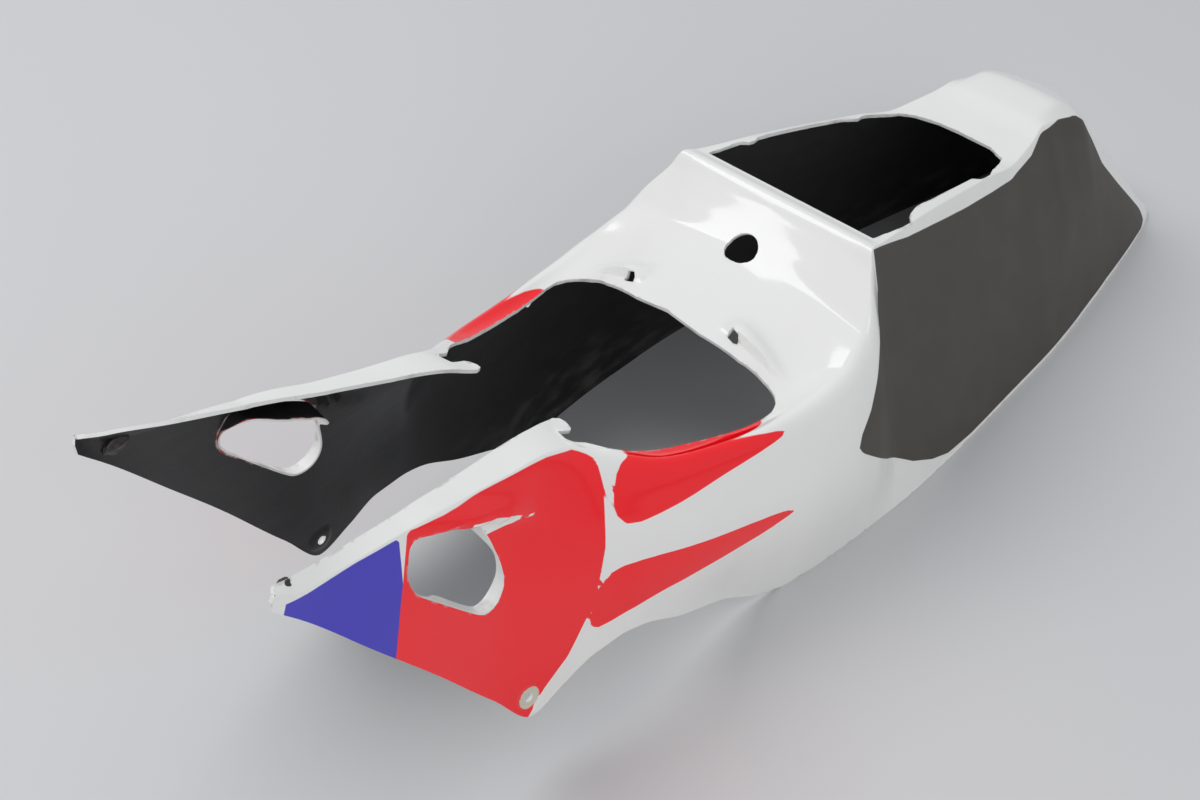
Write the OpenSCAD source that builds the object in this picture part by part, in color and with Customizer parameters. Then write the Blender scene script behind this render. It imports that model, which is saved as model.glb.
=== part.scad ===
// Motorcycle tail fairing: one moulded fibreglass shell with two long side
// wings, a seat opening, a hump with a top opening and a closed tail.
// +Y points to the tail, +X to the rider's left, +Z up. The shell lies on its
// long lower edge; the origin is on that plane, below the middle of its box.

/* [Shell] */
// Thickness of the laminate
wall = 2.6; // [2.2:0.1:3.6]
// Length from the wing tips to the rear lip
shell_len = 1000; // [980:1:1060]
// Spacing of the loft's stations
step = 44; // [36:1:60]

/* [Wings] */
// Half distance between the wing tips
tip_x = 94; // [88:1:100]
// Height of the wing tips
tip_z = 281; // [270:1:292]
// Distance from the tips back to the wings' lower corners
corner_y = 173; // [165:1:182]
// Half distance between the wings' lower corners
corner_x = 109; // [104:1:113]
// Height of the wings' lower corners
corner_z = 46; // [38:1:56]

/* [Seat] */
// Where the seat opening starts, behind the wing flanges
seat_y = 271; // [268:1:276]
// Front edge of the beam behind the seat
beam_y = 418; // [412:1:424]
// Height of the beam's middle
beam_z = 184; // [178:1:190]
// Half width of the seat opening at its rear
seat_x = 105; // [98:1:108]
// Half width of the belly at its widest
belly_x = 134; // [128:1:140]

/* [Hump] */
// Where the hump's front face ends in its crease
hump_y = 532; // [526:1:538]
// Height of the crease
hump_z = 223; // [216:1:232]
// Half width of the crease
hump_x = 90; // [86:1:96]
// Width of the flat lip between the crease and the top opening
lip_w = 14; // [10:1:18]
// Half width of the top opening at its front
hatch_x = 80; // [72:1:82]
// Rear edge of the top opening
hatch_end = 765; // [750:1:770]
// Half width of the top opening at its rear
hatch_rear_x = 47; // [38:1:50]

/* [Tail] */
// Where the crest behind the top opening lies
crest_y = 812; // [804:1:820]
// Height of the crest
crest_z = 175; // [170:1:182]

/* [Holes] */
// Radius of the lock hole in the hump's front face
lock_r = 13; // [9:0.5:14]
// Radius of each wing's bolt hole
bolt_r = 4; // [3:0.1:5]
// Radius of the recess round the bolt hole
recess_r = 9.5; // [8:0.5:11]
// Depth of that recess
recess_depth = 1.3; // [1:0.1:1.8]
// Width of the slots in front of the seat tab bosses
tab_slot_w = 12; // [8:1:16]
// Length of the slotted hole in the right wall
wall_slot_l = 17; // [10:1:22]
// Width of the slotted hole in the right wall
wall_slot_w = 7; // [4:0.5:9]

/* [Resin nub] */
// Radius of the resin nub left inside the left wing tip
nub_r = 4; // [2.5:0.5:5]

/* [Hidden] */
skirt = 3; // the lower edge is trimmed flat this far above the loft's end
bolt_y = corner_y - 1;
bolt_z = corner_z + 16;
hatch_y = hump_y + lip_w;

// One row per control section: place along the length, height at the centre
// plane, then the four corners of the half section's control polygon as
// [x, z] (top, shoulder, side, lower edge), the shoulder's rounding and the
// depth of the dip beside the seat opening.
function between(a, b, t) = a + (b - a) * t;
rows = [
  [0, tip_z + 5, [tip_x - 10, tip_z + 5], [tip_x, tip_z], [tip_x - 1, tip_z - 6], [tip_x - 2, tip_z - 14], .15, 0],
  [between(0, corner_y, .12), 284, [80, 284], [92.5, 266], [93.5, 255], [94, 244], .15, 0],
  [between(0, corner_y, .34), 272, [70, 270], [88, 257], [94.5, 226], [100.5, 195], .12, 0],
  [between(0, corner_y, .56), 260, [60, 257], [84, 249], [95, 200], [104, 146], .1, 0],
  [between(0, corner_y, .82), 246, [48, 243], [78.5, 237], [97, 160], [105.5, 84], .1, 0],
  [corner_y, 236, [42, 234], [75, 229], [100, 135], [corner_x, corner_z], .1, 0],
  [between(corner_y, seat_y, .28), 228, [36, 226], [72.5, 222], [102, 135], [corner_x + 1, corner_z + 9], .1, 0],
  [between(corner_y, seat_y, .57), 219, [32, 217], [70, 216], [104, 135], [112, 64], .12, 0],
  [between(corner_y, seat_y, .79), 210, [30, 209], [72, 208], [107, 130], [113, 64], .25, 0],
  [seat_y, 204, [36, 199], [84, 195], [114, 128], [114.5, 60], .4, 0],
  [between(seat_y, beam_y, .27), 190, [60, 186], [104, 178], [126, 110], [116, 40], .48, 7],
  [between(seat_y, beam_y, .54), 184, [70, 176], [113, 171], [134, 98], [116, 24], .48, 11],
  [between(seat_y, beam_y, .81), beam_z, [70, 171], [121, 167], [139, 88], [belly_x - 12, 5], .48, 15],
  [beam_y + 12, beam_z + 1, [56, 178], [127, 166], [143, 84], [belly_x - 6, -skirt], .48, 17],
  [between(beam_y + 12, hump_y, .34), beam_z + 4, [52, 182], [130, 166], [143, 84], [belly_x - 3, -skirt], .48, 9],
  [between(beam_y + 12, hump_y, .64), hump_z - 28, [50, 190], [124, 174], [141, 85], [belly_x - 1.5, -skirt], .48, 0],
  [between(beam_y + 12, hump_y, .8), hump_z - 18, [60, hump_z - 21], [113, 192], [136, 86], [belly_x - 1, -skirt], .42, 0],
  [hump_y - 8, hump_z - 7, [68, hump_z - 8], [hump_x + 8, hump_z - 14], [129, 88], [belly_x - .5, -skirt], .25, 0],
  [hump_y, hump_z, [76, hump_z], [hump_x, hump_z - 1], [124, 90], [belly_x, -skirt], .1, 0],
  [hatch_y, hump_z - 5, [74, hump_z - 5], [hump_x - 2.5, hump_z - 5], [122, 90], [belly_x, -skirt], .15, 0],
  [between(hatch_y, hatch_end, .25), hump_z - 13, [66, hump_z - 13], [80, hump_z - 16], [116, 90], [131.5, -skirt], .25, 0],
  [between(hatch_y, hatch_end, .43), 201, [62, 201], [75, 198], [112, 88], [128, -skirt], .3, 0],
  [between(hatch_y, hatch_end, .61), 190, [58, 190], [69.5, 188], [108, 85], [124, -skirt], .3, 0],
  [between(hatch_y, hatch_end, .77), 180, [54, 180], [65, 179], [104, 82], [120.5, -skirt], .3, 0],
  [hatch_end - 5, crest_z - 8, [44, crest_z - 9], [59, 167], [99, 78], [116, -skirt], .3, 0],
  [crest_y - 17, crest_z - 5, [38, crest_z - 7], [52, 168], [93, 78], [111, -skirt], .25, 0],
  [crest_y, crest_z, [34, crest_z - 1], [48, crest_z - 4], [90, 78], [108, -skirt], .25, 0],
  [between(crest_y, shell_len, .15), crest_z + 1, [34, crest_z], [49, 162], [85, 72], [102.5, -skirt], .35, 0],
  [between(crest_y, shell_len, .3), 166, [34, 164], [51, 151], [82, 62], [97, -skirt], .35, 0],
  [between(crest_y, shell_len, .37), 158, [34, 154], [54, 130], [81, 55], [94, -skirt], .35, 0],
  [between(crest_y, shell_len, .45), 147, [34, 139], [58, 105], [80, 48], [91, -skirt], .35, 0],
  [between(crest_y, shell_len, .6), 123, [30, 108], [63, 68], [78, 34], [85, -skirt], .35, 0],
  [between(crest_y, shell_len, .79), 84, [26, 72], [66, 32], [74, 16], [76, -skirt], .35, 0],
  [between(crest_y, shell_len, .915), 46, [24, 40], [64, 12], [68, 5], [69, -skirt], .35, 0],
  [shell_len, 18, [20, 14], [50, 5], [54, 3], [55, -skirt], .35, 0]
];
nr = len(rows);
flat_rows = [for (r = rows) [r[0], r[1], each r[2], each r[3], each r[4], each r[5], r[6], r[7]]];

// Smooth interpolation between the rows that never overshoots them
function rise(i) = (flat_rows[i + 1] - flat_rows[i]) / (flat_rows[i + 1][0] - flat_rows[i][0]);
rises = [for (i = [0:nr - 2]) rise(i)];
function slope(i) = i == 0 ? rises[0] : i == nr - 1 ? rises[nr - 2] :
  [for (c = [0:len(rises[0]) - 1]) let (a = rises[i - 1][c], b = rises[i][c]) a * b <= 0 ? 0 : 2 * a * b / (a + b)];
slopes = [for (i = [0:nr - 1]) slope(i)];
function seg(y, i = 0) = i >= nr - 2 || y < flat_rows[i + 1][0] ? i : seg(y, i + 1);
function row_at(y) =
  let (i = seg(y), h = flat_rows[i + 1][0] - flat_rows[i][0], t = (y - flat_rows[i][0]) / h)
  (2 * t^3 - 3 * t^2 + 1) * flat_rows[i] + (t^3 - 2 * t^2 + t) * h * slopes[i]
  + (3 * t^2 - 2 * t^3) * flat_rows[i + 1] + (t^3 - t^2) * h * slopes[i + 1];

// Half section at y: points from the centre plane to the lower edge
function line_pts(a, b, n) = [for (k = [0:n - 1]) a + (b - a) * k / n];
function arc_pts(a, b, c, n) = [for (k = [0:n - 1]) let (t = k / n) (1 - t)^2 * a + 2 * t * (1 - t) * b + t^2 * c];
function half(y) =
  let (r = row_at(y), p = [0, r[1]], t = [r[2], r[3]], c = [r[4], r[5]], b = [r[6], r[7]], l = [r[8], r[9]],
       v = t + (c - t) * .62 - [0, r[11]], f = r[10])
  concat(line_pts(p, (p + t) / 2, 2),
         arc_pts((p + t) / 2, t, (t + v) / 2, 2),
         arc_pts((t + v) / 2, v, (v + c) / 2, 3),
         line_pts((v + c) / 2, c + (v - c) * f, 1),
         arc_pts(c + (v - c) * f, c, c + (b - c) * f, 5),
         line_pts(c + (b - c) * f, b + (c - b) * .4, 2),
         arc_pts(b + (c - b) * .4, b, (b + l) / 2, 4),
         line_pts((b + l) / 2, l, 1), [l]);
// Distance of the side wall from the centre plane, and height of the deck
function side_x(y, z) = lookup(z, [for (q = half(y)) if (q.x > row_at(y)[4] - 4) [q.y, q.x]]);
function deck_z(y, x) = lookup(x, [for (q = half(y)) if (q.x <= row_at(y)[4]) [q.x, q.y]]);

// Loft: outer skin through all stations, inner skin one wall inside it
function spaced(a, b) = let (n = ceil((b - a) / step)) [for (k = [0:n - 1]) between(a, b, k / n)];
ys = [each [for (i = [0:nr - 2]) each spaced(rows[i][0], rows[i + 1][0])], shell_len];
function fine(v) = round(v * 50) / 50;
outer = [for (y = ys) let (h = half(y)) [
  for (k = [len(h) - 1:-1:1]) [-fine(h[k].x), fine(y), fine(h[k].y)],
  each [for (q = h) [fine(q.x), fine(y), fine(q.y)]]]];
ni = len(outer);
nj = len(outer[0]);
function unit(v) = v / norm(v);
function normal_at(i, j) = unit(cross(
  outer[min(i + 1, ni - 1)][j] - outer[max(i - 1, 0)][j],
  outer[i][min(j + 1, nj - 1)] - outer[i][max(j - 1, 0)]));
inner = [for (i = [0:ni - 1]) [for (j = [0:nj - 1])
  let (q = outer[i][j] + wall * normal_at(i, j))
  [fine(q.x), fine(max(0, min(shell_len, q.y))), fine(q.z)]]];

// Closed solid from equal rings of points
module skin(rings) {
  m = len(rings[0]);
  k = len(rings);
  polyhedron(points = [for (r = rings) each r],
    faces = [[for (j = [0:m - 1]) j], [for (j = [m - 1:-1:0]) (k - 1) * m + j],
      each [for (i = [0:k - 2]) each [for (j = [0:m - 1])
        let (a = i * m + j, b = i * m + (j + 1) % m) each [[a, a + m, b + m], [a, b + m, b]]]]]);
}
module loft() {
  m = 2 * nj;
  function id(i, j, s) = i * m + (s == 0 ? j : nj + j);
  polyhedron(points = [for (i = [0:ni - 1]) each concat(outer[i], inner[i])],
    faces = concat(
      [for (i = [0:ni - 2]) each [for (j = [0:nj - 2]) each [
        [id(i, j, 0), id(i + 1, j + 1, 0), id(i, j + 1, 0)],
        [id(i, j, 0), id(i + 1, j, 0), id(i + 1, j + 1, 0)],
        [id(i, j, 1), id(i, j + 1, 1), id(i + 1, j + 1, 1)],
        [id(i, j, 1), id(i + 1, j + 1, 1), id(i + 1, j, 1)]]]],
      [for (i = [0:ni - 2]) each [
        [id(i, 0, 0), id(i + 1, 0, 1), id(i + 1, 0, 0)], [id(i, 0, 0), id(i, 0, 1), id(i + 1, 0, 1)],
        [id(i, nj - 1, 0), id(i + 1, nj - 1, 0), id(i + 1, nj - 1, 1)],
        [id(i, nj - 1, 0), id(i + 1, nj - 1, 1), id(i, nj - 1, 1)]]],
      [for (j = [0:nj - 2]) each [
        [id(0, j, 0), id(0, j + 1, 0), id(0, j + 1, 1)], [id(0, j, 0), id(0, j + 1, 1), id(0, j, 1)],
        [id(ni - 1, j, 0), id(ni - 1, j + 1, 1), id(ni - 1, j + 1, 0)],
        [id(ni - 1, j, 0), id(ni - 1, j, 1), id(ni - 1, j + 1, 1)]]]));
}

// Closed smooth curve through points, n steps between each two
function through(p, n) = let (m = len(p)) [for (i = [0:m - 1]) each [for (k = [0:n - 1])
  let (t = k / n, a = p[(i + m - 1) % m], b = p[i], c = p[(i + 1) % m], d = p[(i + 2) % m])
  .5 * (2 * b + (c - a) * t + (2 * a - 5 * b + 4 * c - d) * t^2 + (3 * b - a - 3 * c + d) * t^3)]];

// Plan outlines of the two large openings
seat_edge = [[tip_x - 2, -20], [tip_x - 3, 0], [86, 26], [77, 68], [69, 112], [59, 159], [48, 211], [42, 243],
  [37, seat_y - 9], [35, seat_y], [40, seat_y + 4], [51, seat_y + 1], [50, seat_y - 12], [63, seat_y - 15],
  [66, seat_y - 1], [72, seat_y + 4], [77, seat_y + 11], [81, seat_y + 20], [88, seat_y + 46],
  [98, seat_y + 91], [seat_x, beam_y - 20], [seat_x, beam_y - 8], [seat_x - 3, beam_y], [seat_x - 8, beam_y + 5],
  [seat_x - 15, beam_y + 8], [seat_x - 27, beam_y + 8], [60, beam_y + 4], [30, beam_y]];
module seat_outline() {
  polygon(concat(seat_edge, [for (k = [len(seat_edge) - 1:-1:0]) [-seat_edge[k].x, seat_edge[k].y]]));
}
hatch_left = [[hatch_x - 1, hatch_y + .7], [hatch_x + 1, hatch_y + 34], [hatch_x, hatch_y + 46], [hatch_x - 7, hatch_y + 53],
  [69, hatch_y + 65], [67, hatch_y + 92], [63, hatch_y + 127], [60, hatch_end - 68], [64, hatch_end - 62],
  [63, hatch_end - 48], [57, hatch_end - 36], [hatch_rear_x + 3, hatch_end - 15], [hatch_rear_x, hatch_end - 7], [31, hatch_end]];
hatch_right = [[hatch_x - 2, hatch_y + .7], [hatch_x - 4, hatch_y + 36], [hatch_x - 11, hatch_y + 42], [hatch_x - 7, hatch_y + 54],
  [70, hatch_y + 88], [64, hatch_end - 74], [57, hatch_end - 60], [60, hatch_end - 51], [57, hatch_end - 28],
  [hatch_rear_x + 5, hatch_end - 11], [hatch_rear_x - 5, hatch_end - 4], [20, hatch_end]];
module hatch_outline() {
  polygon(concat(hatch_left, [for (k = [len(hatch_right) - 1:-1:0]) [-hatch_right[k].x, hatch_right[k].y]]));
}
// Side outline of the air vent in each wing, as [y, z]
vent = [[108, 238], [99, 229], [96, 216], [102, 206], [115, 192], [140, 163], [150, 157], [160, 159], [168, 167],
  [169, 182], [163, 206], [154, 216], [132, 228]];
module vent_cut() {
  rotate([90, 0, 90]) translate([0, 0, -150]) linear_extrude(300) polygon(through(vent, 3));
}

// Scoop fin that rises along the top of each vent and runs out behind it
fin_top = [[112, 238], [132, 229], [154, 217], [172, 208], [190, 199], [206, 190]];
fin_rise = [1, 4, 7, 6, 4, .6];
module fin() {
  skin([for (k = [0:len(fin_top) - 1])
    let (y = fin_top[k].x, z = fin_top[k].y, w = 1.6 + fin_rise[k] * .35, m = wall * .55,
         x = side_x(y, z), xa = side_x(y, z + w), xb = side_x(y, z - w))
    [[xa - m, y, z + w], [xa + .1, y, z + w], [x + fin_rise[k], y, z - w * .2],
     [x + fin_rise[k] - .6, y, z - w * .8], [xb - m, y, z - w]]]);
}
// Lip turned inward along the lower edge of each vent
vent_low = [[98.3, 209.4], [106, 200], [115, 191], [128, 176], [140, 162], [150, 156], [160.6, 158.3]];
module vent_lip() {
  skin([for (k = [0:len(vent_low) - 1])
    let (y = vent_low[k].x, z = vent_low[k].y, x = side_x(y, z), xl = side_x(y, z - 3),
         d = k == 0 || k == len(vent_low) - 1 ? 4 : 10)
    [[xl - wall * .8, y, z - 3], [x - d, y + 1, z], [x - d, y + 1.5, z + 2.5],
     [x - .4, y, z + 1.2], [xl - .6, y, z - 3]]]);
}

// Boss over each seat tab slot: high at its inner end, run out at the outer
boss_x = [40, 46, 56, 68, 82, 94];
boss_rise = [.4, 7.5, 8, 5.5, 2.6, .2];
module boss() {
  skin([for (k = [0:len(boss_x) - 1])
    let (x = boss_x[k], y0 = beam_y + 15 + k, w = 17 - 2.2 * k, h = boss_rise[k])
    [[x, y0 + w, deck_z(y0 + w, x) - wall * .5], [x, y0 + w, deck_z(y0 + w, x) + .1],
     [x, y0 + w * .35, deck_z(y0 + w * .35, x) + h * .9],
     [x, y0, deck_z(y0, x) + h], [x, y0, deck_z(y0, x) - wall * .5]]]);
}
module boss_slot() {
  translate([51.3 - tab_slot_w / 2, beam_y + 8.3, beam_z - 12]) cube([tab_slot_w, 12, 10.6]);
}

// Flat round pad that carries the bolt hole at each wing's lower corner
pad_x = side_x(bolt_y, bolt_z);
module pad() {
  translate([pad_x - wall - recess_depth, bolt_y, bolt_z]) rotate([0, 90, 0]) cylinder(h = wall + 2.5, r = recess_r + 1.6, $fn = 24);
}
module recess() {
  translate([pad_x - recess_depth, bolt_y, bolt_z]) rotate([0, 90, 0]) cylinder(h = 12, r = recess_r, $fn = 24);
}
// Nub of laminating resin behind the left tip's trimmed edge
module nub() {
  translate([tip_x - 7.7, 13.3, tip_z - 6.2]) rotate([11, 7, 3]) scale([1, 1.3, 1]) sphere(r = nub_r, $fn = 16);
}
module both() {
  children();
  mirror([1, 0, 0]) children();
}

lock_y = between(beam_y + 12, hump_y, .65);
lock_tilt = atan((deck_z(lock_y + 6, 0) - deck_z(lock_y - 6, 0)) / 12);
module lock_cut() {
  translate([0, lock_y, deck_z(lock_y, 0)]) rotate([lock_tilt, 0, 0]) translate([0, 0, -12]) cylinder(h = 24, r = lock_r, $fn = 64);
}
module bolt_cut() {
  translate([-150, bolt_y, bolt_z]) rotate([0, 90, 0]) cylinder(h = 300, r = bolt_r, $fn = 48);
}
module wall_slot() {
  translate([-150, beam_y - 13, beam_z - 52]) rotate([90, 0, 90]) linear_extrude(60)
    hull() for (s = [-1, 1]) translate([0, s * (wall_slot_l - wall_slot_w) / 2]) circle(r = wall_slot_w / 2, $fn = 24);
}

module moulding() {
  resize([0, shell_len, 0])
  difference() {
    union() {
      difference() {
        loft();
        translate([0, 0, 100]) linear_extrude(300) seat_outline();
        translate([0, 0, 100]) linear_extrude(200) hatch_outline();
        vent_cut();
      }
      both() {
        fin();
        vent_lip();
        boss();
        pad();
      }
      nub();
    }
    both() {
      boss_slot();
      recess();
    }
    wall_slot();
    translate([-300, -100, -20]) cube([600, shell_len + 200, 20]);
  }
}

module tail_shell() {
  color([.92, .92, .91]) translate([0, -shell_len / 2, 0]) difference() {
    moulding();
    bolt_cut();
    lock_cut();
  }
}

tail_shell();
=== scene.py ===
# %% [markdown]
# # A motorcycle tail fairing
# The real part is one thin moulded shell of glass fibre and resin. Two long wings reach forward
# past the seat, a beam crosses behind the seat, a hump carries a top opening, and a tail closes
# the rear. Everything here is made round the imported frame, in metres, and lands where it says.

# %% Load the frame
import math

import bpy
import numpy as np
from mathutils import Matrix, Vector, noise


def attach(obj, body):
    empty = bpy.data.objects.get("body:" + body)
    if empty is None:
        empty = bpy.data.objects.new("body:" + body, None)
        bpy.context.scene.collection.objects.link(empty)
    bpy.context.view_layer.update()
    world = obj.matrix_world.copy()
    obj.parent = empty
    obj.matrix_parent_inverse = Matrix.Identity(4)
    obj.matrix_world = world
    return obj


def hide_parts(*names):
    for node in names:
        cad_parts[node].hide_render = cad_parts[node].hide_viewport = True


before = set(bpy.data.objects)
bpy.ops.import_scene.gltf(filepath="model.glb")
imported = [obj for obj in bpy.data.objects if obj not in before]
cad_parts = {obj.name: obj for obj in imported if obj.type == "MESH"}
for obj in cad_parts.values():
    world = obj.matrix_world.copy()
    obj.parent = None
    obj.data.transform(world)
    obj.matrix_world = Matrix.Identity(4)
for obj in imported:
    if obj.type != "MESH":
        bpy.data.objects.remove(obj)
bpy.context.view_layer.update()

# %% [markdown]
# ## The camera
# The picture was taken from the left front, 41 degrees above the floor, with a 60 mm lens on a
# 36 mm wide frame. The camera is placed by its own three axes, so no aim point is needed.

# %% Camera
CAMERA_PLACE = Vector((0.74105, -0.90364, 1.06458))
CAMERA_FORWARD = Vector((-0.52873, 0.53716, -0.65719)).normalized()
CAMERA_RIGHT = Vector((0.71796, 0.69603, -0.00872)).normalized()
camera_up = CAMERA_RIGHT.cross(CAMERA_FORWARD).normalized()
camera_data = bpy.data.cameras.new("camera")
camera_data.lens = 60
camera_data.sensor_width = 36
camera = bpy.data.objects.new("camera", camera_data)
axes = Matrix((CAMERA_FORWARD.cross(camera_up), camera_up, -CAMERA_FORWARD)).transposed()
camera.matrix_world = Matrix.Translation(CAMERA_PLACE) @ axes.to_4x4()
bpy.context.scene.collection.objects.link(camera)
bpy.context.scene.camera = camera
print("camera at", tuple(round(v, 3) for v in camera.location))

# %% [markdown]
# ## The driving sizes
# These are the sizes of the moulding, in millimetres from the wing tips and from the floor that
# the shell lies on. They are the same as those of the solid model, so both shells coincide.

# %% Sizes
MM = 0.001
WALL = 2.6
LENGTH = 1000
TIP_X, TIP_Z = 94, 281
CORNER_Y, CORNER_X, CORNER_Z = 173, 109, 46
SEAT_Y, BEAM_Y, BEAM_Z, SEAT_X, BELLY_X = 271, 418, 184, 105, 134
HUMP_Y, HUMP_Z, HUMP_X, LIP_W = 532, 223, 90, 14
HATCH_X, HATCH_END, HATCH_REAR_X = 80, 765, 47
CREST_Y, CREST_Z = 812, 175
LOCK_R, BOLT_R, RECESS_R, RECESS_DEPTH = 13, 4, 9.5, 1.3
SKIRT = 3
BOLT_Y, BOLT_Z = CORNER_Y - 1, CORNER_Z + 16
HATCH_Y = HUMP_Y + LIP_W


def between(a, b, t):
    return a + (b - a) * t


def shape_row(y, middle, top, shoulder, side, low, rounding, dip=0):
    return [y, middle, *top, *shoulder, *side, *low, rounding, dip]


# %% [markdown]
# ## The control sections
# A moulding like this is drawn as cross sections along its length. Each row gives the height at
# the middle and four corners of the half section: top, shoulder, side and lower edge.

# %% Sections of the wings and seat
beam_rear = BEAM_Y + 12
wing_rows = [
    shape_row(0, TIP_Z + 5, (TIP_X - 10, TIP_Z + 5), (TIP_X, TIP_Z), (TIP_X - 1, TIP_Z - 6),
              (TIP_X - 2, TIP_Z - 14), .15),
    shape_row(between(0, CORNER_Y, .12), 284, (80, 284), (92.5, 266), (93.5, 255), (94, 244), .15),
    shape_row(between(0, CORNER_Y, .34), 272, (70, 270), (88, 257), (94.5, 226), (100.5, 195), .12),
    shape_row(between(0, CORNER_Y, .56), 260, (60, 257), (84, 249), (95, 200), (104, 146), .1),
    shape_row(between(0, CORNER_Y, .82), 246, (48, 243), (78.5, 237), (97, 160), (105.5, 84), .1),
    shape_row(CORNER_Y, 236, (42, 234), (75, 229), (100, 135), (CORNER_X, CORNER_Z), .1),
    shape_row(between(CORNER_Y, SEAT_Y, .28), 228, (36, 226), (72.5, 222), (102, 135),
              (CORNER_X + 1, CORNER_Z + 9), .1),
    shape_row(between(CORNER_Y, SEAT_Y, .57), 219, (32, 217), (70, 216), (104, 135), (112, 64), .12),
    shape_row(between(CORNER_Y, SEAT_Y, .79), 210, (30, 209), (72, 208), (107, 130), (113, 64), .25),
    shape_row(SEAT_Y, 204, (36, 199), (84, 195), (114, 128), (114.5, 60), .4),
    shape_row(between(SEAT_Y, BEAM_Y, .27), 190, (60, 186), (104, 178), (126, 110), (116, 40), .48, 7),
    shape_row(between(SEAT_Y, BEAM_Y, .54), 184, (70, 176), (113, 171), (134, 98), (116, 24), .48, 11),
    shape_row(between(SEAT_Y, BEAM_Y, .81), BEAM_Z, (70, 171), (121, 167), (139, 88),
              (BELLY_X - 12, 5), .48, 15),
    shape_row(beam_rear, BEAM_Z + 1, (56, 178), (127, 166), (143, 84), (BELLY_X - 6, -SKIRT), .48, 17),
]
print(len(wing_rows), "sections from the tips to the beam")

# %% Sections of the hump and tail
hump_rows = [
    shape_row(between(beam_rear, HUMP_Y, .34), BEAM_Z + 4, (52, 182), (130, 166), (143, 84),
              (BELLY_X - 3, -SKIRT), .48, 9),
    shape_row(between(beam_rear, HUMP_Y, .64), HUMP_Z - 28, (50, 190), (124, 174), (141, 85),
              (BELLY_X - 1.5, -SKIRT), .48),
    shape_row(between(beam_rear, HUMP_Y, .8), HUMP_Z - 18, (60, HUMP_Z - 21), (113, 192), (136, 86),
              (BELLY_X - 1, -SKIRT), .42),
    shape_row(HUMP_Y - 8, HUMP_Z - 7, (68, HUMP_Z - 8), (HUMP_X + 8, HUMP_Z - 14), (129, 88),
              (BELLY_X - .5, -SKIRT), .25),
    shape_row(HUMP_Y, HUMP_Z, (76, HUMP_Z), (HUMP_X, HUMP_Z - 1), (124, 90), (BELLY_X, -SKIRT), .1),
    shape_row(HATCH_Y, HUMP_Z - 5, (74, HUMP_Z - 5), (HUMP_X - 2.5, HUMP_Z - 5), (122, 90),
              (BELLY_X, -SKIRT), .15),
    shape_row(between(HATCH_Y, HATCH_END, .25), HUMP_Z - 13, (66, HUMP_Z - 13), (80, HUMP_Z - 16),
              (116, 90), (131.5, -SKIRT), .25),
    shape_row(between(HATCH_Y, HATCH_END, .43), 201, (62, 201), (75, 198), (112, 88), (128, -SKIRT), .3),
    shape_row(between(HATCH_Y, HATCH_END, .61), 190, (58, 190), (69.5, 188), (108, 85), (124, -SKIRT), .3),
    shape_row(between(HATCH_Y, HATCH_END, .77), 180, (54, 180), (65, 179), (104, 82), (120.5, -SKIRT), .3),
    shape_row(HATCH_END - 5, CREST_Z - 8, (44, CREST_Z - 9), (59, 167), (99, 78), (116, -SKIRT), .3),
    shape_row(CREST_Y - 17, CREST_Z - 5, (38, CREST_Z - 7), (52, 168), (93, 78), (111, -SKIRT), .25),
]
tail_rows = [
    shape_row(CREST_Y, CREST_Z, (34, CREST_Z - 1), (48, CREST_Z - 4), (90, 78), (108, -SKIRT), .25),
    shape_row(between(CREST_Y, LENGTH, .15), CREST_Z + 1, (34, CREST_Z), (49, 162), (85, 72),
              (102.5, -SKIRT), .35),
    shape_row(between(CREST_Y, LENGTH, .3), 166, (34, 164), (51, 151), (82, 62), (97, -SKIRT), .35),
    shape_row(between(CREST_Y, LENGTH, .37), 158, (34, 154), (54, 130), (81, 55), (94, -SKIRT), .35),
    shape_row(between(CREST_Y, LENGTH, .45), 147, (34, 139), (58, 105), (80, 48), (91, -SKIRT), .35),
    shape_row(between(CREST_Y, LENGTH, .6), 123, (30, 108), (63, 68), (78, 34), (85, -SKIRT), .35),
    shape_row(between(CREST_Y, LENGTH, .79), 84, (26, 72), (66, 32), (74, 16), (76, -SKIRT), .35),
    shape_row(between(CREST_Y, LENGTH, .915), 46, (24, 40), (64, 12), (68, 5), (69, -SKIRT), .35),
    shape_row(LENGTH, 18, (20, 14), (50, 5), (54, 3), (55, -SKIRT), .35),
]
rows = np.array(wing_rows + hump_rows + tail_rows, dtype=float)
print(len(rows), "control sections")

# %% [markdown]
# ## From sections to a surface
# Between two rows every number follows a smooth curve that never overshoots, the way a flexible
# batten lies through marks. Round stretches of a section are parabolas, the rest straight lines.

# %% Smooth interpolation between sections
rises = (rows[1:] - rows[:-1]) / (rows[1:, :1] - rows[:-1, :1])
slopes = np.zeros_like(rows)
slopes[0], slopes[-1] = rises[0], rises[-1]
product = rises[:-1] * rises[1:]
total = rises[:-1] + rises[1:]
slopes[1:-1] = np.where(product > 0, 2 * product / np.where(total == 0, 1, total), 0)


def row_at(y):
    i = int(np.clip(np.searchsorted(rows[:, 0], y, side="right") - 1, 0, len(rows) - 2))
    span = rows[i + 1, 0] - rows[i, 0]
    t = (y - rows[i, 0]) / span
    return ((2 * t ** 3 - 3 * t ** 2 + 1) * rows[i] + (t ** 3 - 2 * t ** 2 + t) * span * slopes[i]
            + (3 * t ** 2 - 2 * t ** 3) * rows[i + 1] + (t ** 3 - t ** 2) * span * slopes[i + 1])


def straight(a, b, count):
    t = np.arange(count)[:, None] / count
    return a + (b - a) * t


def parabola(a, b, c, count):
    t = np.arange(count)[:, None] / count
    return (1 - t) ** 2 * a + 2 * t * (1 - t) * b + t ** 2 * c


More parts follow.
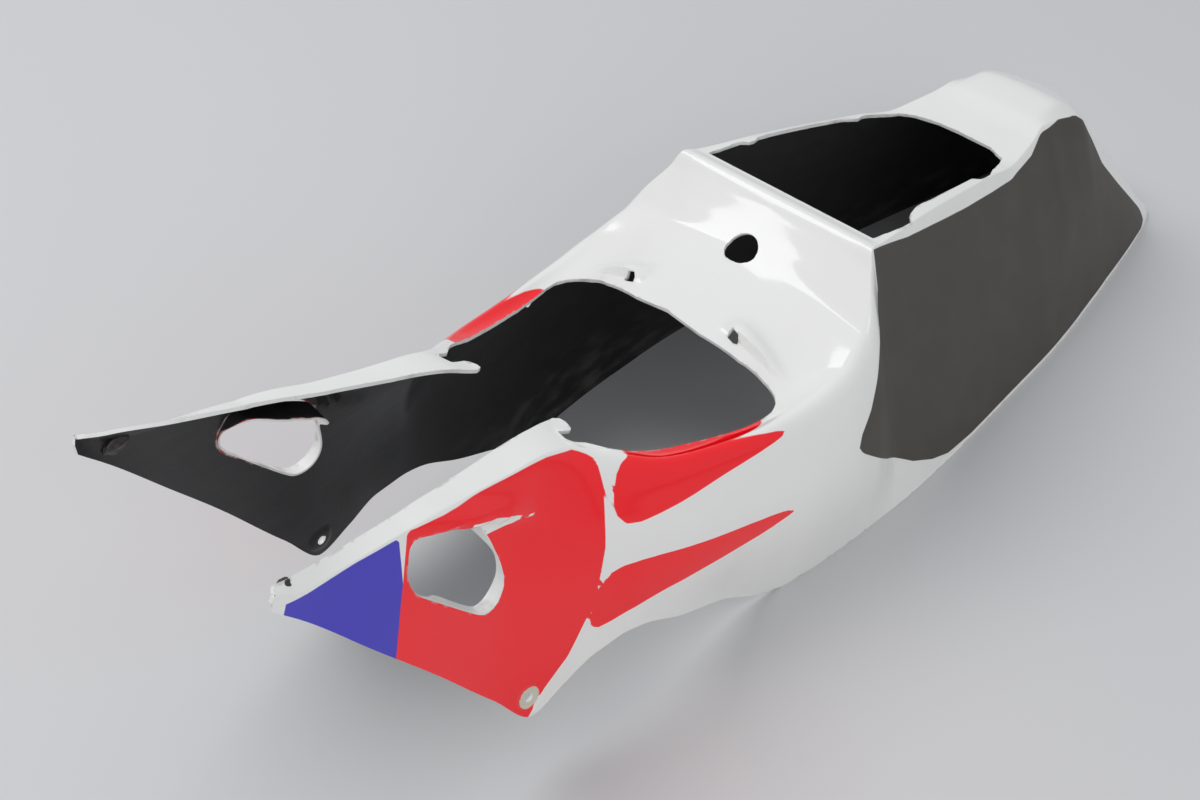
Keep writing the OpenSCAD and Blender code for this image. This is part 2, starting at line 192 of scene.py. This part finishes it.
def half_section(y):
    r = row_at(y)
    middle = np.array([0, r[1]])
    top, shoulder, side, low = r[2:4], r[4:6], r[6:8], r[8:10]
    rounding, dip = r[10], r[11]
    valley = top + (shoulder - top) * .62 - np.array([0, dip])
    into, out = shoulder + (valley - shoulder) * rounding, shoulder + (side - shoulder) * rounding
    return np.concatenate([
        straight(middle, (middle + top) / 2, 18), parabola((middle + top) / 2, top, (top + valley) / 2, 9),
        parabola((top + valley) / 2, valley, (valley + shoulder) / 2, 9),
        straight((valley + shoulder) / 2, into, 5), parabola(into, shoulder, out, 12),
        straight(out, side + (shoulder - side) * .4, 10),
        parabola(side + (shoulder - side) * .4, side, (side + low) / 2, 12),
        straight((side + low) / 2, low, 16), low[None, :]])


# %% Stations along the length, closer where detail is small
PLAIN_STEP, FINE_STEP = 4.4, 1.9
LOCK_Y = between(beam_rear, HUMP_Y, .65)
fine_spans = [(0, 14), (BOLT_Y - 12, BOLT_Y + 12), (BEAM_Y + 6, BEAM_Y + 30),
              (LOCK_Y - LOCK_R - 2, LOCK_Y + LOCK_R + 2), (HUMP_Y - 14, HUMP_Y + 18)]
stations = [0.0]
while stations[-1] < LENGTH:
    here = stations[-1]
    fine = any(a <= here < b for a, b in fine_spans)
    stations.append(min(LENGTH, here + (FINE_STEP if fine else PLAIN_STEP)))
right_half = [half_section(y) for y in stations]
grid = np.array([[(-q[0], y, q[1]) for q in half[:0:-1]] + [(q[0], y, q[1]) for q in half]
                 for y, half in zip(stations, right_half)])
print("surface grid", grid.shape[:2])

# %% Outward direction at each point of the grid
along = np.gradient(grid, axis=0)
across = np.gradient(grid, axis=1)
outward = -np.cross(along, across)
outward /= np.maximum(np.linalg.norm(outward, axis=2, keepdims=True), 1e-9)
print("mean upward part of the direction", round(float(outward[..., 2].mean()), 2))

# %% [markdown]
# ## Raised and sunk forms
# The scoop fin over each vent, the two bosses behind the seat and the sunk ring round each bolt
# hole are pressed out of the same sheet. So they are moves of its points along the surface's
# own direction, and the inner side follows them as it does in a laminate.

# %% Distance helpers
def outline_distance(outline, points):
    """Signed distance to a closed outline: positive inside."""
    a = np.array(outline, dtype=float)
    b = np.roll(a, -1, axis=0)
    best = np.full(len(points), 1e9)
    inside = np.zeros(len(points), dtype=bool)
    for p, q in zip(a, b):
        d = q - p
        t = np.clip(((points - p) @ d) / max(d @ d, 1e-12), 0, 1)
        best = np.minimum(best, np.linalg.norm(points - p - t[:, None] * d, axis=1))
        crosses = (p[1] > points[:, 1]) != (q[1] > points[:, 1])
        slope = (q[0] - p[0]) / (q[1] - p[1]) if q[1] != p[1] else 0
        inside ^= crosses & (points[:, 0] < p[0] + slope * (points[:, 1] - p[1]))
    return np.where(inside, best, -best)


def closed_curve(points, steps):
    """Closed smooth curve through the points."""
    p = np.array(points, dtype=float)
    a, b, c, d = np.roll(p, 1, 0), p, np.roll(p, -1, 0), np.roll(p, -2, 0)
    parts = [.5 * (2 * b + (c - a) * t + (2 * a - 5 * b + 4 * c - d) * t ** 2
                   + (3 * b - a - 3 * c + d) * t ** 3) for t in np.arange(steps) / steps]
    return np.stack(parts, axis=1).reshape(-1, 2)


def soft_step(value, low, high):
    t = np.clip((value - low) / (high - low), 0, 1)
    return t * t * (3 - 2 * t)


# %% Scoop fins, bosses and bolt recesses
FIN_TOP = [(112, 238), (132, 229), (154, 217), (172, 208), (190, 199), (206, 190)]
FIN_RISE = [1, 4, 7, 6, 4, .6]
x, y, z = grid[..., 0], grid[..., 1], grid[..., 2]
fin_line = np.interp(y, [p[0] for p in FIN_TOP], [p[1] for p in FIN_TOP])
fin_rise = np.interp(y, [p[0] for p in FIN_TOP], FIN_RISE, left=0, right=0)
above = z - fin_line
fin = fin_rise * np.where(above > 0, 1 - soft_step(above, 0, 20), 1 - soft_step(-above, 0, 4))
move = np.where((np.abs(x) > 60) & (y > 96) & (y < 206), fin, 0)
BOSS_X = [40, 46, 56, 68, 82, 94]
BOSS_RISE = [.4, 7.5, 8, 5.5, 2.6, .2]
boss_rise = np.interp(np.abs(x), BOSS_X, BOSS_RISE, left=0, right=0)
boss_front = BEAM_Y + 14 + (np.abs(x) - 40) * .09
boss_width = np.interp(np.abs(x), [40, 94], [19, 7])
boss_run = 1 - soft_step(y, boss_front + boss_width * .3, boss_front + boss_width * 1.3)
move = move + np.where(z > 120, boss_rise * soft_step(y, boss_front - .6, boss_front + 1.2) * boss_run, 0)
from_bolt = np.hypot(y - BOLT_Y, z - BOLT_Z)
move = move - RECESS_DEPTH * (1 - soft_step(from_bolt, RECESS_R - 1.4, RECESS_R + .4))
grid = grid + outward * move[..., None]
print("largest rise", round(float(move.max()), 1), "mm")

# %% [markdown]
# ## The openings
# The laminate comes out of its mould whole, and the openings are cut afterwards along marked
# lines. Here each opening is a distance from such a line, and the sheet is kept where the
# distance is positive. Faces on the line are clipped at it, so the edge runs true.

# %% Outlines of the openings
SEAT_EDGE = [(89.5, -20), (89, -4), (88.6, 2), (88, 10), (86.8, 17), (85.6, 26), (77, 68), (69, 112), (59, 159), (48, 211), (42, 243),
             (37, SEAT_Y - 9), (35, SEAT_Y), (40, SEAT_Y + 4), (51, SEAT_Y + 1), (50, SEAT_Y - 12),
             (63, SEAT_Y - 15), (66, SEAT_Y - 1), (72, SEAT_Y + 4), (77, SEAT_Y + 11), (81, SEAT_Y + 20),
             (88, SEAT_Y + 46), (98, SEAT_Y + 91), (SEAT_X, BEAM_Y - 20), (SEAT_X, BEAM_Y - 8),
             (SEAT_X - 3, BEAM_Y), (SEAT_X - 8, BEAM_Y + 5), (SEAT_X - 15, BEAM_Y + 8),
             (SEAT_X - 27, BEAM_Y + 8), (60, BEAM_Y + 4), (30, BEAM_Y)]
HATCH_LEFT = [(HATCH_X - 1, HATCH_Y + .7), (HATCH_X + 1, HATCH_Y + 34), (HATCH_X, HATCH_Y + 46),
              (HATCH_X - 7, HATCH_Y + 53), (69, HATCH_Y + 65), (67, HATCH_Y + 92), (63, HATCH_Y + 127),
              (60, HATCH_END - 68), (64, HATCH_END - 62), (63, HATCH_END - 48), (57, HATCH_END - 36),
              (HATCH_REAR_X + 3, HATCH_END - 15), (HATCH_REAR_X, HATCH_END - 7), (31, HATCH_END)]
HATCH_RIGHT = [(HATCH_X - 2, HATCH_Y + .7), (HATCH_X - 4, HATCH_Y + 36), (HATCH_X - 11, HATCH_Y + 42),
               (HATCH_X - 7, HATCH_Y + 54), (70, HATCH_Y + 88), (64, HATCH_END - 74), (57, HATCH_END - 60),
               (60, HATCH_END - 51), (57, HATCH_END - 28), (HATCH_REAR_X + 5, HATCH_END - 11),
               (HATCH_REAR_X - 5, HATCH_END - 4), (20, HATCH_END)]
VENT = [(108, 238), (99, 229), (95.5, 216), (100, 204), (113, 189), (140, 159), (150, 152), (161, 154), (169, 164),
        (169, 182), (163, 206), (154, 216), (132, 228)]
seat_outline = SEAT_EDGE + [(-a, b) for a, b in SEAT_EDGE[::-1]]
hatch_outline = HATCH_LEFT + [(-a, b) for a, b in HATCH_RIGHT[::-1]]
vent_outline = closed_curve(VENT, 5)
print("openings:", len(seat_outline), len(hatch_outline), len(vent_outline), "points")

# %% Distance of each grid point from every cut
flat = grid.reshape(-1, 3)
plan, profile = flat[:, :2], flat[:, 1:]
x, y, z = flat.T
high = z > 118
cut_seat = np.where(high, outline_distance(seat_outline, plan), -50)
cut_hatch = np.where(high, outline_distance(hatch_outline, plan), -50)
from_vent = outline_distance(vent_outline, profile)
cut_vent = np.where(np.abs(x) > 60, from_vent, -50)
from_bolt = np.hypot(y - BOLT_Y, z - BOLT_Z)
lock_row, lock_near = half_section(LOCK_Y)[0], half_section(LOCK_Y + 6)[0]
lock_lean = math.atan((lock_near[1] - lock_row[1]) / 6)
lock_along = (y - LOCK_Y) / math.cos(lock_lean)
from_lock = np.hypot(x, lock_along)
TAB_X, TAB_HALF = 50.3, 5
tab_side = TAB_HALF - np.abs(np.abs(x) - TAB_X)
tab_front = 2.4 - np.abs(y - (BEAM_Y + 13.6 - (np.abs(x) - TAB_X) * .12))
SLOT_Y, SLOT_Z, SLOT_HALF, SLOT_R = BEAM_Y - 13, BEAM_Z - 52, 5, 3.5
from_slot = np.hypot(y - SLOT_Y, np.maximum(np.abs(z - SLOT_Z) - SLOT_HALF, 0))
cuts = [cut_seat, cut_hatch, cut_vent, BOLT_R - from_bolt, LOCK_R - from_lock,
        np.where(high, np.minimum(tab_side, tab_front), -50), np.where(x < -100, SLOT_R - from_slot, -50), -z]
NOSE_R, NOSE_Z = 9, 272
nose = np.hypot(np.minimum(y - NOSE_R, 0), np.maximum(z - NOSE_Z, 0)) - NOSE_R
cuts.append(np.where(y < 60, nose, -50))
keep = -np.max(cuts, axis=0)
keep = np.where(np.abs(keep) < .25, .25, keep)
print("points kept", int((keep > 0).sum()), "of", len(keep))

# %% [markdown]
# ## The paint
# The outside is white gloss, with a blue front on each wing, red bands and a matt dark side
# panel. The bands are plain slanted stripes of a common kind. Each colour's border is stored on
# the mesh as a distance in millimetres, which a material can turn into a sharp painted line.

# %% Borders of the painted fields, as outlines in side view
BLUE_FRONT = [(9, 267), (22, 263.5), (60, 256), (97, 247.5), (88, 205), (74, 150), (40, 150), (0, 236)]
RED_FRONT = [(104, 246.5), (122, 242), (150, 234), (190, 223.5), (229, 214), (252, 206), (264, 196), (262, 178),
             (250, 140), (232, 106), (206, 76), (184, 62), (150, 30), (60, 150), (84, 205)]
RED_UPPER = [(279, 187), (330, 172), (404, 155), (345, 150), (268, 150)]
RED_LOWER = [(250, 120), (320, 110), (404, 91), (330, 84), (232, 84)]
FIN_BAND = [(150, 222), (172, 211), (208, 189.5), (178, 198), (158, 203)]
DARK_SIDE = [(533, 221), (531, 191), (514, 171), (501, 150), (486, 128), (473, 115), (469.5, 105), (475, 97),
             (513, 63), (556, 29), (582, 14), (603, 6), (640, 2.6), (800, 2.6), (965, 2.6), (969, 9), (963, 23),
             (929, 63), (899, 98), (887, 124), (876, 146), (862, 158), (835, 166), (808, 168), (785, 161), (748, 160),
             (673, 178), (583, 203)]
RED_PARTS = [closed_curve(o, 5) if n else o for n, o in enumerate((RED_FRONT, RED_UPPER, RED_LOWER))]
on_side = np.abs(x) > 46
fields = {
    "blue": np.where(on_side, outline_distance(BLUE_FRONT, profile), -50),
    "red": np.where(on_side, np.minimum(np.max([outline_distance(o, profile) for o in RED_PARTS], axis=0),
                                        -outline_distance(FIN_BAND, profile)), -50),
    "dark": np.where(on_side, outline_distance(DARK_SIDE, profile), -50),
    "from_bolt": from_bolt,
    "from_vent": np.where(np.abs(x) > 60, -from_vent, 50),
    "from_edge": np.minimum(keep, 60),
}
print("painted fields", list(fields))

# %% [markdown]
# ## The sheet
# Faces that lie wholly on the kept side stay as they are. A face that a cut line crosses gets a
# new corner on each crossed edge, shared with its neighbour, so the border has no teeth.

# %% Clip the grid at the cuts
count_y, count_x = grid.shape[:2]
names = list(fields)
values = np.concatenate([flat, np.stack([fields[n] for n in names], axis=1)], axis=1)
extra, crossing = [], {}


def cut_point(a, b):
    key = (min(a, b), max(a, b))
    if key not in crossing:
        t = keep[key[0]] / (keep[key[0]] - keep[key[1]])
        crossing[key] = len(values) + len(extra)
        extra.append(values[key[0]] + (values[key[1]] - values[key[0]]) * t)
    return crossing[key]


faces = []
for i in range(count_y - 1):
    for j in range(count_x - 1):
        ring = [i * count_x + j, i * count_x + j + 1, (i + 1) * count_x + j + 1, (i + 1) * count_x + j]
        good = [keep[k] > 0 for k in ring]
        if all(good):
            faces.append(ring)
        elif any(good):
            clipped = []
            for k in range(4):
                a, b = ring[k], ring[(k + 1) % 4]
                if good[k]:
                    clipped.append(a)
                if good[k] != good[(k + 1) % 4]:
                    clipped.append(cut_point(a, b))
            if len(clipped) > 2:
                faces.append(clipped)
print(len(faces), "faces,", len(extra), "points on the cuts")

# %% Mesh of the sheet
everything = np.concatenate([values, np.array(extra)])
used = sorted({k for f in faces for k in f})
place = {k: n for n, k in enumerate(used)}
corners = everything[used]
corners[:, 1] -= LENGTH / 2
mesh = bpy.data.meshes.new("fairing_shell")
mesh.from_pydata((corners[:, :3] * MM).tolist(), [], [[place[k] for k in f] for f in faces])
for column, name in enumerate(names):
    attribute = mesh.attributes.new(name, "FLOAT", "POINT")
    attribute.data.foreach_set("value", corners[:, 3 + column].astype(np.float32))
shell = bpy.data.objects.new("fairing_shell", mesh)
bpy.context.scene.collection.objects.link(shell)


def only(piece):
    """Select one object and nothing else, as a click on it does."""
    bpy.ops.object.select_all(action="DESELECT")
    piece.select_set(True)
    bpy.context.view_layer.objects.active = piece


def apply_modifier(piece, kind, **settings):
    only(piece)
    modifier = piece.modifiers.new(kind.lower(), kind)
    for key, value in settings.items():
        setattr(modifier, key, value)
    bpy.ops.object.modifier_apply(modifier=modifier.name)


upward = sum(p.normal.z * p.area for p in mesh.polygons)
if upward < 0:
    mesh.flip_normals()
print("sheet", len(mesh.vertices), "points, faces turned out:", upward < 0)

# %% [markdown]
# ## Materials
# Shader maths reads best as plain expressions. One small class wraps a socket and adds a Math
# node for each operator, and one method makes any other node.

# %% Node helpers
class Value:
    def __init__(self, graph, socket):
        self.graph, self.socket = graph, socket

    def maths(self, operation, a, b=None):
        inputs = {0: a} if b is None else {0: a, 1: b}
        return self.graph.node("ShaderNodeMath", {"operation": operation}, inputs)

    def __add__(self, other): return self.maths("ADD", self, other)
    def __radd__(self, other): return self.maths("ADD", other, self)
    def __sub__(self, other): return self.maths("SUBTRACT", self, other)
    def __rsub__(self, other): return self.maths("SUBTRACT", other, self)
    def __mul__(self, other): return self.maths("MULTIPLY", self, other)
    def __rmul__(self, other): return self.maths("MULTIPLY", other, self)
    def __truediv__(self, other): return self.maths("DIVIDE", self, other)
    def between(self, low, high):
        """0 below low, 1 above high, and smooth in between."""
        return self.graph.node("ShaderNodeMapRange", {"interpolation_type": "SMOOTHSTEP"},
                               {"Value": self, "From Min": low, "From Max": high}, "Result")


class Graph:
    def __init__(self, name):
        self.material = bpy.data.materials.new(name)
        self.material.use_nodes = True
        self.tree = self.material.node_tree
        self.shader = self.tree.nodes["Principled BSDF"]

    def node(self, kind, settings=None, inputs=None, output=0):
        node = self.tree.nodes.new(kind)
        for key, value in (settings or {}).items():
            setattr(node, key, value)
        for key, value in (inputs or {}).items():
            self.feed(node.inputs[key], value)
        return Value(self, node.outputs[output])

    def feed(self, socket, value):
        if isinstance(value, Value):
            self.tree.links.new(value.socket, socket)
        else:
            socket.default_value = value

    def attribute(self, name):
        return self.node("ShaderNodeAttribute", {"attribute_name": name}, output="Fac")

    def place(self, scale=(1, 1, 1)):
        where = self.node("ShaderNodeTexCoord", output="Object")
        return self.node("ShaderNodeMapping", {}, {"Vector": where, "Scale": scale}, "Vector")

    def noise(self, scale, detail=3, stretch=(1, 1, 1)):
        return self.node("ShaderNodeTexNoise", {}, {"Vector": self.place(stretch), "Scale": scale,
                                                    "Detail": detail}, "Fac")

    def mix(self, factor, a, b):
        return self.node("ShaderNodeMix", {"data_type": "RGBA"}, {0: factor, 6: a, 7: b}, 2)

    def bump(self, height, distance, strength=1.0):
        return self.node("ShaderNodeBump", {}, {"Height": height, "Distance": distance,
                                                "Strength": strength}, "Normal")

    def set(self, **sockets):
        for name, value in sockets.items():
            self.feed(self.shader.inputs[name.replace("_", " ")], value)


WHITE = (.83, .83, .80, 1)
RED = (.95, .003, .010, 1)
BLUE = (.045, .034, .50, 1)
DARK = (.050, .045, .035, 1)
BARE_RESIN = (.60, .58, .47, 1)
LAMINATE = (.0055, .005, .0058, 1)
print("paint colours ready")

# %% [markdown]
# ## Gloss paint
# The paint lies over filled glass fibre: nearly flat, with a slight waviness, fine dust and a
# few worn spots at the edges. The side panels are matt, and the bolt recess is bare resin.

# %% Outside paint
def outside_paint():
    g = Graph("gloss_paint")
    wander = (g.noise(60, 2) - .5) * .5
    blue = (g.attribute("blue") + wander).between(-.3, .3)
    red = (g.attribute("red") + wander).between(-.3, .3)
    dark = (g.attribute("dark") + wander).between(-.3, .3)
    ring = 1 - (g.attribute("from_bolt") + wander).between(RECESS_R - 1.6, RECESS_R - .6)
    stain = g.noise(9, 5).between(.5, .8)
    white = g.mix(stain * .35, WHITE, (.74, .73, .69, 1))
    colour = g.mix(red, g.mix(blue, white, BLUE), RED)
    scuff = g.noise(260, 4, (1, .25, 1)).between(.62, .74) * g.noise(14, 2).between(.5, .62)
    colour = g.mix(dark, colour, g.mix(g.noise(35, 4).between(.35, .75) * .5, DARK, (.068, .062, .050, 1)))
    chip = (1 - g.attribute("from_edge").between(.3, 1.6)) * g.noise(120, 3).between(.52, .6)
    colour = g.mix(chip * .5, colour, (.45, .43, .40, 1))
    g.set(Base_Color=g.mix(ring, colour, BARE_RESIN))
    g.set(Roughness=.1 + dark * .42 + ring * .22 + scuff * .06 + stain * .05)
    g.set(Coat_Weight=(1 - dark) * (1 - ring) * .3)
    g.set(Coat_Roughness=.04)
    wave = g.noise(16, 2) * .7 + g.noise(420, 2) * (dark * .25 + .02)
    g.set(Normal=g.bump(wave, .0006, .35))
    return g.material


# %% [markdown]
# ## Bare laminate
# Inside, black resin was brushed over the glass cloth. Brush strokes run along the part, the
# cloth's weave shows through faintly, and pale dust lies along the lower edge. Paint that was
# sprayed from outside leaves a ragged rim round the vents.

# %% Inside laminate
def inside_laminate():
    g = Graph("bare_laminate")
    strokes = g.noise(150, 5, (1, .12, .6))
    cloth = g.node("ShaderNodeTexWave", {"bands_direction": "Y"}, {"Vector": g.place(), "Scale": 260.0,
                                                                   "Distortion": 3.0}, "Fac")
    height = g.node("ShaderNodeSeparateXYZ", {}, {"Vector": g.place()}, "Z")
    dust = (1 - (height + g.noise(24, 4) * .05).between(.03, .085)) * g.noise(80, 5, (1, .3, 1)).between(.45, .7)
    film = g.noise(11, 4).between(.5, .78)
    colour = g.mix(strokes.between(.35, .7), LAMINATE, (.013, .012, .013, 1))
    colour = g.mix(film * .25, colour, (.028, .027, .026, 1))
    colour = g.mix(dust * .45, colour, (.22, .21, .19, 1))
    ragged = g.attribute("from_vent") + (g.noise(110, 4) - .5) * 4
    rim = 1 - ragged.between(1, 2.6)
    spray = g.mix(g.noise(90, 3).between(.42, .58), (.70, .55, .55, 1), (.62, .05, .06, 1))
    g.set(Base_Color=g.mix(rim * .85, colour, spray))
    g.set(Roughness=.34 + strokes * .2 + dust * .25 + rim * .1)
    g.set(Coat_Weight=.25 - dust * .25)
    g.set(Coat_Roughness=.2)
    g.set(Normal=g.bump(strokes * .5 + cloth * .08 + g.noise(30, 3), .001, .5))
    return g.material


# %% Cut edges, where paint wraps over the laminate
def cut_edge():
    g = Graph("painted_edge")
    worn = g.noise(70, 4).between(.54, .68)
    g.set(Base_Color=g.mix(worn * .4, WHITE, (.45, .42, .38, 1)))
    g.set(Roughness=.28 + worn * .3)
    g.set(Normal=g.bump(g.noise(300, 4), .0004, .5))
    return g.material


paint, laminate, edge = outside_paint(), inside_laminate(), cut_edge()
print("materials", [m.name for m in (paint, laminate, edge)])

# %% [markdown]
# ## Thickness
# Solidify grows the wall inward from the painted side, as the laminate is laid up, and gives the
# inner side and the cut edges their own finish. A small bevel takes the sharpness off each edge.

# %% Give the sheet its wall
for material in (paint, laminate, edge):
    shell.data.materials.append(material)
apply_modifier(shell, "SOLIDIFY", thickness=WALL * MM, offset=-1, material_offset=1, material_offset_rim=2,
               use_quality_normals=True)
for vertex in shell.data.vertices:
    vertex.co.z = max(vertex.co.z, 0)
    vertex.co.y = max(vertex.co.y, -LENGTH / 2 * MM)
apply_modifier(shell, "BEVEL", width=.0005, segments=1, limit_method="ANGLE", angle_limit=math.radians(62))
only(shell)
bpy.ops.object.shade_smooth_by_angle(angle=math.radians(42))
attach(shell, "root")
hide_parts("tail_shell")
print("shell", sum(len(p.vertices) - 2 for p in shell.data.polygons), "triangles")

# %% [markdown]
# ## Vent lips
# Round each vent the sheet turns inward, which stiffens the cut and makes a short duct. The lip
# is narrow at the front and rear, wider below, and widest along the top, where it was cut by hand.

# %% Lips of the vents
LIP_STEPS = 7


def wall_x(at_y, at_z):
    half = half_section(at_y)
    start = int(np.argmax(half[:, 0] > row_at(at_y)[4] - 4))
    return float(np.interp(-at_z, -half[start:, 1], half[start:, 0]))


def lip_reach(direction, side, n):
    upper = soft_step(direction[1] * .9 + direction[0] * .44, .1, .75)
    lower = soft_step(-direction[1] * .9 - direction[0] * .2, .1, .7)
    ragged = 1.1 * noise.noise(Vector((n * .21, side * 3.0, 0)))
    return 3.5 + upper * 17 + lower * 6.5 + ragged * upper


def vent_lip(name, side):
    ring = closed_curve(VENT, 8)
    centre = ring.mean(axis=0)
    strip, rim_gap = [], []
    for n, (py, pz) in enumerate(ring):
        direction = (np.array((py, pz)) - centre) / np.linalg.norm(np.array((py, pz)) - centre)
        reach = lip_reach(direction, side, n)
        for inward in np.linspace(.5, reach, LIP_STEPS):
            lean = .12 * inward
            rim_gap.append(reach - inward + 1)
            strip.append((side * (wall_x(py, pz) - inward), py - LENGTH / 2 - direction[0] * lean,
                          pz - direction[1] * lean))
    count = len(ring)
    quads = [(i * LIP_STEPS + j, i * LIP_STEPS + j + 1, (i + 1) % count * LIP_STEPS + j + 1,
              (i + 1) % count * LIP_STEPS + j) for i in range(count) for j in range(LIP_STEPS - 1)]
    strip_mesh = bpy.data.meshes.new(name)
    strip_mesh.from_pydata([tuple(c * MM for c in p) for p in strip], [], quads)
    lip = bpy.data.objects.new(name, strip_mesh)
    bpy.context.scene.collection.objects.link(lip)
    from_rim = strip_mesh.attributes.new("from_vent", "FLOAT", "POINT")
    from_rim.data.foreach_set("value", rim_gap)
    lip.data.materials.append(edge)
    lip.data.materials.append(laminate)
    middle = Vector((0, (centre[0] - LENGTH / 2) * MM, centre[1] * MM))
    facing = sum((p.center - middle).dot(p.normal) * p.area for p in strip_mesh.polygons)
    if facing > 0:
        strip_mesh.flip_normals()
    apply_modifier(lip, "SOLIDIFY", thickness=.0016, offset=-1, material_offset=1)
    apply_modifier(lip, "BEVEL", width=.0005, segments=2, limit_method="ANGLE")
    only(lip)
    bpy.ops.object.shade_smooth_by_angle(angle=math.radians(50))
    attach(lip, "root")


vent_lip("left_vent_lip", 1)
vent_lip("right_vent_lip", -1)
print("two vent lips")

# %% [markdown]
# ## Resin left in the tips
# A nub of dark resin stands behind the left tip's trimmed edge, and a run of resin hardened
# inside the right one. Both are a small ball pulled out of shape by noise.

# %% Resin lumps
def dark_resin():
    g = Graph("dark_resin")
    g.set(Base_Color=g.mix(g.noise(300, 3), (.012, .010, .011, 1), (.045, .035, .03, 1)))
    g.set(Roughness=.22 + g.noise(200, 3) * .2)
    g.set(Normal=g.bump(g.noise(500, 3), .0004, .6))
    return g.material


resin = dark_resin()


def resin_lump(name, centre, size):
    bpy.ops.object.select_all(action="DESELECT")
    bpy.ops.mesh.primitive_ico_sphere_add(subdivisions=4, radius=1)
    lump = bpy.context.active_object
    lump.name = name
    for vertex in lump.data.vertices:
        swell = 1 + .22 * noise.noise(vertex.co * 1.7 + Vector(size) * 900)
        vertex.co = Vector([c * s * swell for c, s in zip(vertex.co, size)]) + Vector(centre)
    lump.data.materials.append(resin)
    bpy.ops.object.shade_smooth()
    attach(lump, "root")


NUB = ((TIP_X - 8) * MM, (14 - LENGTH / 2) * MM, (TIP_Z - 7.6) * MM)
RUN = (-(TIP_X - 4.5) * MM, (26 - LENGTH / 2) * MM, (TIP_Z - 22) * MM)
resin_lump("left_tip_nub", NUB, (.0036, .0048, .0036))
resin_lump("right_tip_run", RUN, (.003, .009, .006))
print("two lumps of resin")

# %% [markdown]
# ## Floor and light
# A plain pale floor and two large soft lamps, at a level where a colour renders about as it is
# written. The world fills the shadows evenly.

# %% Stage
bpy.ops.object.select_all(action="DESELECT")
bpy.ops.mesh.primitive_plane_add(size=14)
floor = bpy.context.active_object
floor.name = "floor"
floor_look = Graph("pale_floor")
floor_look.set(Base_Color=(.62, .62, .62, 1), Roughness=.7)
floor.data.materials.append(floor_look.material)


def soft_lamp(name, where, size, power):
    lamp_data = bpy.data.lights.new(name, "AREA")
    lamp_data.size = size
    lamp_data.energy = power
    lamp = bpy.data.objects.new(name, lamp_data)
    lamp.location = where
    lamp.rotation_euler = (-Vector(where)).to_track_quat("-Z", "Y").to_euler()
    bpy.context.scene.collection.objects.link(lamp)


soft_lamp("key_lamp", (-1.2, -.6, 2.4), 1.8, 30)
soft_lamp("fill_lamp", (2.3, -1.0, 1.3), 1.6, 15)
world = bpy.context.scene.world or bpy.data.worlds.new("world")
bpy.context.scene.world = world
world.use_nodes = True
world.node_tree.nodes["Background"].inputs["Color"].default_value = (.93, .95, 1, 1)
world.node_tree.nodes["Background"].inputs["Strength"].default_value = .58
bpy.context.scene.view_settings.view_transform = "Standard"
print("lamps and floor in place")
